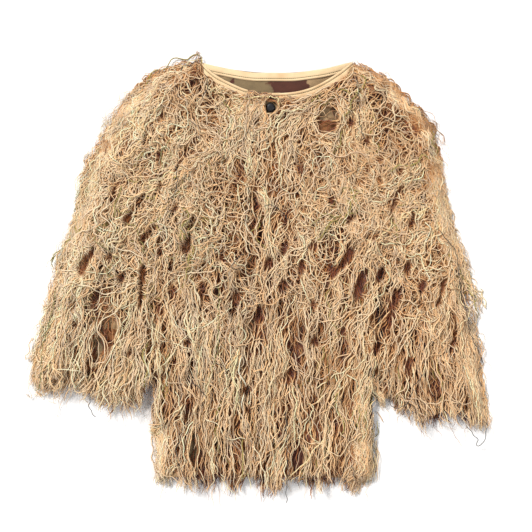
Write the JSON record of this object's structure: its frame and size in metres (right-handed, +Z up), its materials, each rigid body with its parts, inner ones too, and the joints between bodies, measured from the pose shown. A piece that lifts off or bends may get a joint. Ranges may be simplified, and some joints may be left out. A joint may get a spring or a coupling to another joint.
{
  "type": "ghillie jacket",
  "caption": "Long-sleeved camouflage jacket covered in shaggy undyed yarn fringe, with a snapped front and a taped round neck, laid flat on its back.",
  "frame": {"origin": "centre of the laid-out jacket's bounding box, on the surface that it lies on", "axes": "+Y from hem to collar, +X towards the wearer's left sleeve, +Z up from the surface through the front"},
  "size_m": [0.796, 0.758, 0.046],
  "materials": {
    "yarn": "matte",
    "camouflage_cloth": "matte",
    "neck_tape": "matte",
    "snap_cap": "satin",
    "snap_metal": "satin",
    "elastic": "matte"
  },
  "bodies": {
    "torso": {"back_fringe": "yarn", "back_panel": "camouflage_cloth", "hem_fold_back": "camouflage_cloth", "front_side_right": "camouflage_cloth", "front_side_left": "camouflage_cloth", "front_side_fringe_right": "yarn", "front_side_fringe_left": "yarn", "side_seam_right": "camouflage_cloth", "side_seam_left": "camouflage_cloth", "shoulder_seam_right": "camouflage_cloth", "shoulder_seam_left": "camouflage_cloth", "neck_tape_back": "neck_tape", "neck_tape_side_right": "neck_tape", "neck_tape_side_left": "neck_tape", "hem_fold_side_right": "camouflage_cloth", "hem_fold_side_left": "camouflage_cloth"},
    "front_right": {"front_panel_right": "camouflage_cloth", "front_fringe_right": "yarn", "placket_right": "camouflage_cloth", "snap_studs": "snap_metal", "snap_eyelets": "snap_metal", "neck_tape_right": "neck_tape", "hem_fold_right": "camouflage_cloth"},
    "front_left": {"front_panel_left": "camouflage_cloth", "front_fringe_left": "yarn", "placket_left": "camouflage_cloth", "snap_caps": "snap_cap", "snap_sockets": "snap_metal", "neck_tape_left": "neck_tape", "hem_fold_left": "camouflage_cloth"},
    "sleeve_right": {"sleeve_upper_right": "camouflage_cloth", "sleeve_under_right": "camouflage_cloth", "sleeve_fringe_right": "yarn", "sleeve_fringe_under_right": "yarn", "sleeve_seam_outer_right": "camouflage_cloth", "sleeve_seam_inner_right": "camouflage_cloth", "cuff_elastic_right": "elastic"},
    "sleeve_left": {"sleeve_upper_left": "camouflage_cloth", "sleeve_under_left": "camouflage_cloth", "sleeve_fringe_left": "yarn", "sleeve_fringe_under_left": "yarn", "sleeve_seam_outer_left": "camouflage_cloth", "sleeve_seam_inner_left": "camouflage_cloth", "cuff_elastic_left": "elastic"}
  },
  "joints": [
    {"name": "front_left_fold", "type": "hinge", "parent": "torso", "child": "front_left", "pos_m": [0.1042, 0, 0.0244], "axis": [0, 1, 0], "range_deg": [0, 120]},
    {"name": "front_right_fold", "type": "hinge", "parent": "torso", "child": "front_right", "pos_m": [-0.0802, 0, 0.019], "axis": [0, -1, 0], "range_deg": [0, 84]},
    {"name": "sleeve_right_swing", "type": "hinge", "parent": "torso", "child": "sleeve_right", "pos_m": [-0.19, 0.228, 0.012], "axis": [0, 0, -1], "range_deg": [0, 70]},
    {"name": "sleeve_left_swing", "type": "hinge", "parent": "torso", "child": "sleeve_left", "pos_m": [0.212, 0.228, 0.012], "axis": [0, 0, 1], "range_deg": [0, 70]}
  ],
  "couplings": [
    {"joint": "front_right_fold", "follows": "front_left_fold", "ratio": 0.7}
  ]
}
